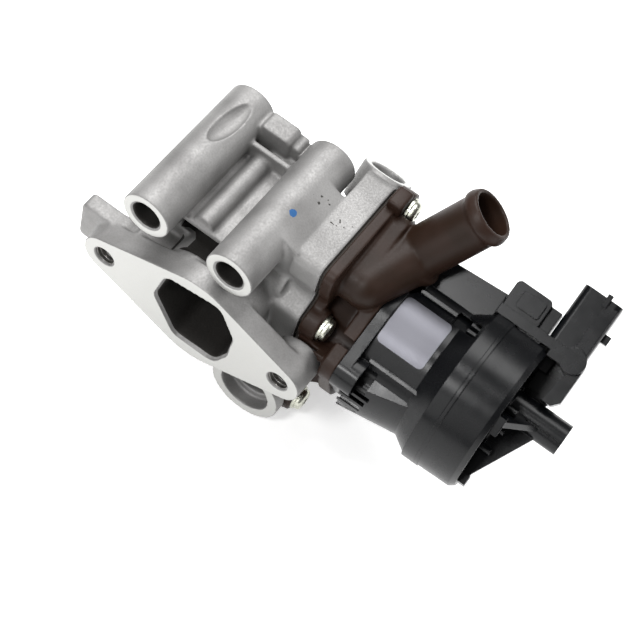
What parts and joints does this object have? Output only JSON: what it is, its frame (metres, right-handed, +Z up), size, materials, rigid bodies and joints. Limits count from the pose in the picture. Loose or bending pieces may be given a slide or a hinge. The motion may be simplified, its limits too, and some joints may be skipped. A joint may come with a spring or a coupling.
{
  "type": "egr valve",
  "caption": "Electric exhaust gas valve: die-cast housing with flange and bolt sleeves, moulded coolant cover with hose spigot, black motor with angled connector.",
  "frame": {"origin": "centre of the inlet flange face, midway between its two threaded holes", "axes": "+X along the valve axis towards the motor, +Y away from the engine pipe that bolts to the inlet flange, +Z up"},
  "size_m": [0.1537, 0.0808, 0.0949],
  "materials": {
    "cast_aluminium": "grainy die-cast satin",
    "seat_steel": "ground",
    "valve_steel": "ground, heat tinted head",
    "bush_bronze": "bored",
    "seal_rubber": "matt",
    "plug_steel": "pressed",
    "cover_plastic": "fine grained, taupe brown",
    "screw_zinc": "zinc plated",
    "black_plastic": "satin moulded",
    "limiter_steel": "turned",
    "dark_screw": "black plated",
    "spring_steel": "drawn wire",
    "cup_steel": "pressed",
    "spindle_steel": "rolled",
    "magnet_nickel": "nickel plated",
    "shaft_plastic": "moulded",
    "magnet_dark": "sintered",
    "bearing_steel": "ground",
    "stack_steel": "laminated",
    "coil_copper": "enamelled wire",
    "plate_steel": "pressed",
    "board_green": "solder mask",
    "chip_black": "moulded",
    "pin_tin": "tin plated",
    "label_silver": "satin foil, bare"
  },
  "bodies": {
    "housing": {"valve_housing": "cast_aluminium", "seat_ring": "seat_steel", "stem_bush": "bush_bronze", "stem_seal": "seal_rubber", "end_plug": "plug_steel", "cover_gasket": "seal_rubber", "coolant_cover": "cover_plastic", "cover_screws": "screw_zinc", "actuator_casing": "black_plastic", "screw_limiters": "limiter_steel", "motor_screws": "dark_screw", "motor_seal": "seal_rubber", "return_spring": "spring_steel", "front_bearing_outer": "bearing_steel", "rear_bearing_outer": "bearing_steel", "stator_stack": "stack_steel", "stator_coils": "coil_copper", "motor_end_plate": "plate_steel", "circuit_board": "board_green", "position_sensor": "chip_black", "cap_seal": "seal_rubber", "end_cap": "black_plastic", "connector_arm": "black_plastic", "terminal_pins": "pin_tin", "rating_label": "label_silver"},
    "valve_line": {"poppet_valve": "valve_steel", "spring_cup": "cup_steel", "spindle": "spindle_steel", "sensor_magnet": "magnet_nickel"},
    "rotor": {"rotor_shaft": "shaft_plastic", "rotor_magnets": "magnet_dark", "front_bearing_inner": "bearing_steel", "rear_bearing_inner": "bearing_steel"},
    "front_ball_set": {"front_bearing_balls": "bearing_steel"},
    "rear_ball_set": {"rear_bearing_balls": "bearing_steel"}
  },
  "joints": [
    {"name": "rotor_spin", "type": "hinge", "parent": "housing", "child": "rotor", "pos_m": [0.068, 0.036, -0.0034], "axis": [1, 0, 0], "range_deg": [0, 585]},
    {"name": "valve_lift", "type": "slide", "parent": "housing", "child": "valve_line", "axis": [-1, 0, 0], "range_m": [0, 0.0065], "deforming": ["return_spring"]},
    {"name": "front_ball_orbit", "type": "hinge", "parent": "housing", "child": "front_ball_set", "pos_m": [0.0579, 0.036, -0.0034], "axis": [1, 0, 0], "range_deg": [0, 240]},
    {"name": "rear_ball_orbit", "type": "hinge", "parent": "housing", "child": "rear_ball_set", "pos_m": [0.0797, 0.036, -0.0034], "axis": [1, 0, 0], "range_deg": [0, 240]}
  ],
  "couplings": [
    {"joint": "valve_lift", "follows": "rotor_spin", "m_per_rad": 0.00063662},
    {"joint": "front_ball_orbit", "follows": "rotor_spin", "ratio": 0.4},
    {"joint": "rear_ball_orbit", "follows": "rotor_spin", "ratio": 0.4}
  ]
}
